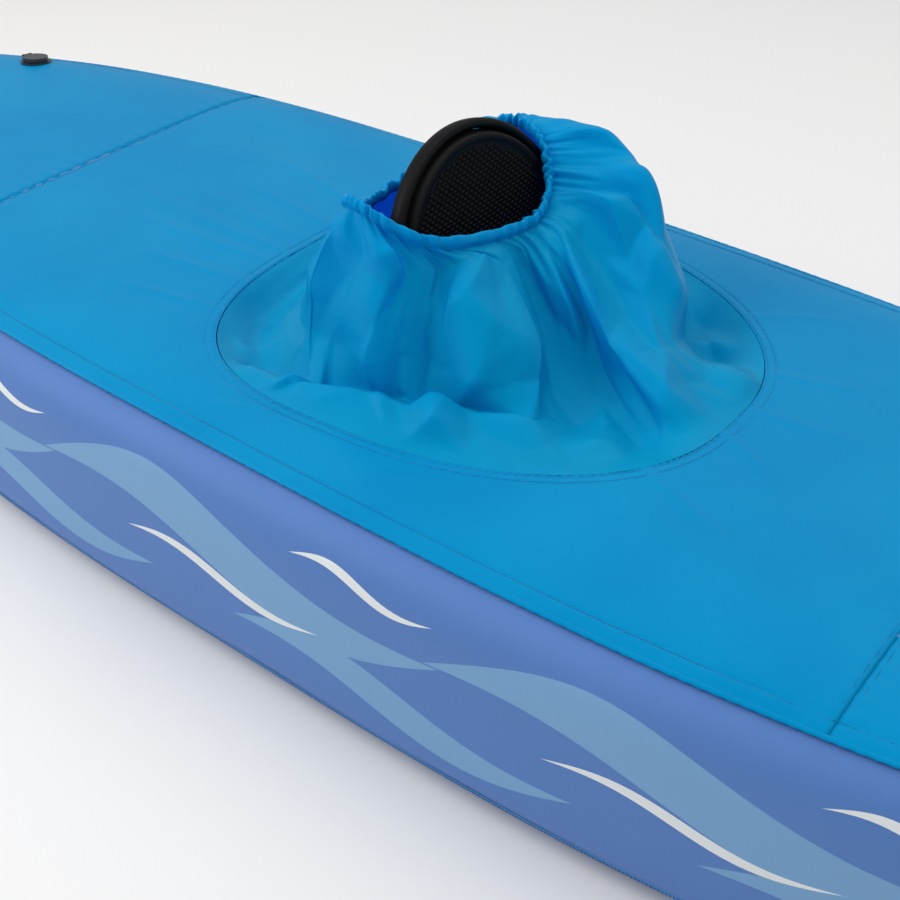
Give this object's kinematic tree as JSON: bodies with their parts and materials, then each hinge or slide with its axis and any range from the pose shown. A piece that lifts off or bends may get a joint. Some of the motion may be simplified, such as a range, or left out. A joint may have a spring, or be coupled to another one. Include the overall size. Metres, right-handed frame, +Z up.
{
  "type": "inflatable kayak",
  "caption": "Decked inflatable kayak with printed fabric sides, a taut nylon deck, a gathered elastic cockpit skirt and a tilting moulded foam backrest.",
  "frame": {"origin": "on the floor under the middle of the hull, where the bottom skin rests", "axes": "+X to the bow, +Y to port, +Z up"},
  "size_m": [3.198, 0.88, 0.5714],
  "materials": {
    "deck_nylon": "satin coated nylon",
    "skirt_nylon": "satin coated nylon",
    "side_print": "printed laminated fabric",
    "bottom_pvc": "coated PVC fabric",
    "seam_tape": "matt tape",
    "webbing": "woven webbing",
    "chamber_pvc": "matt PVC film",
    "eva_foam": "moulded closed-cell foam",
    "board_pe": "matt sheet",
    "elastic": "woven elastic",
    "valve_plastic": "moulded",
    "buckle_plastic": "moulded acetal",
    "seat_fabric": "woven polyester",
    "stem_pvc": "moulded PVC"
  },
  "bodies": {
    "hull": {"bottom_seam_tape_port": "seam_tape", "bottom_seam_tape_starboard": "seam_tape", "bottom_skin": "bottom_pvc", "bow_handle_anchor": "buckle_plastic", "bow_handle_patch": "webbing", "bow_stem_cap": "stem_pvc", "cockpit_seam_tape": "deck_nylon", "deck_hem_port": "deck_nylon", "deck_hem_starboard": "deck_nylon", "deck_panel_aft": "deck_nylon", "deck_panel_fore": "deck_nylon", "deck_panel_mid": "deck_nylon", "deck_seam_tape_aft": "deck_nylon", "deck_seam_tape_fore": "deck_nylon", "drain_fitting": "valve_plastic", "floor_chamber": "chamber_pvc", "floor_valve_base": "valve_plastic", "floor_valve_stem": "valve_plastic", "port_valve_base": "valve_plastic", "port_valve_stem": "valve_plastic", "seat_base_webbing": "webbing", "seat_cushion": "seat_fabric", "seat_strap_front_port": "webbing", "seat_strap_front_starboard": "webbing", "seat_strap_rear_port": "webbing", "seat_strap_rear_starboard": "webbing", "side_chamber_port": "chamber_pvc", "side_chamber_starboard": "chamber_pvc", "side_panel_port": "side_print", "side_panel_starboard": "side_print", "skeg_track": "valve_plastic", "spray_skirt": "skirt_nylon", "starboard_valve_base": "valve_plastic", "starboard_valve_stem": "valve_plastic", "stern_handle_anchor": "buckle_plastic", "stern_handle_patch": "webbing", "stern_stem_cap": "stem_pvc", "strap_adjusters": "buckle_plastic", "strap_anchors": "webbing", "waist_casing": "skirt_nylon", "waist_elastic": "elastic"},
    "backrest": {"backrest_board": "board_pe", "backrest_pad": "eva_foam", "backrest_rim": "eva_foam", "backrest_strap_lugs": "buckle_plastic"},
    "bow_handle": {"bow_handle_webbing": "webbing", "bow_handle_grip": "buckle_plastic"},
    "stern_handle": {"stern_handle_webbing": "webbing", "stern_handle_grip": "buckle_plastic"},
    "port_valve_lid": {"port_valve_cap": "valve_plastic"},
    "starboard_valve_lid": {"starboard_valve_cap": "valve_plastic"},
    "floor_valve_lid": {"floor_valve_cap": "valve_plastic"},
    "drain_stopper": {"drain_plug": "valve_plastic"}
  },
  "joints": [
    {"name": "backrest_tilt", "type": "hinge", "parent": "hull", "child": "backrest", "pos_m": [0.142, 0, 0.118], "axis": [0, 1, 0], "range_deg": [-10, 14], "deforming": ["spray_skirt", "waist_casing", "waist_elastic", "seat_strap_front_port", "seat_strap_front_starboard", "seat_strap_rear_port", "seat_strap_rear_starboard"]},
    {"name": "port_valve_lid_hinge", "type": "hinge", "parent": "hull", "child": "port_valve_lid", "pos_m": [-1.14552, 0.21203, 0.31559], "axis": [-0.0037, -0.9932, 0.1163], "range_deg": [0, 110]},
    {"name": "starboard_valve_lid_hinge", "type": "hinge", "parent": "hull", "child": "starboard_valve_lid", "pos_m": [-1.14552, -0.21203, 0.31559], "axis": [0.0037, -0.9932, -0.1163], "range_deg": [0, 110]},
    {"name": "floor_valve_lid_hinge", "type": "hinge", "parent": "hull", "child": "floor_valve_lid", "pos_m": [-0.175, 0, 0.1], "axis": [0, -1, 0], "range_deg": [0, 110]},
    {"name": "bow_handle_swing", "type": "hinge", "parent": "hull", "child": "bow_handle", "pos_m": [1.40088, 0, 0.30351], "axis": [0, -1, 0], "range_deg": [0, 150]},
    {"name": "stern_handle_swing", "type": "hinge", "parent": "hull", "child": "stern_handle", "pos_m": [-1.40088, 0, 0.30351], "axis": [0, 1, 0], "range_deg": [0, 150]},
    {"name": "drain_plug_pull", "type": "slide", "parent": "hull", "child": "drain_stopper", "axis": [-0.1421, 0, -0.9898], "range_m": [0, 0.02]}
  ]
}
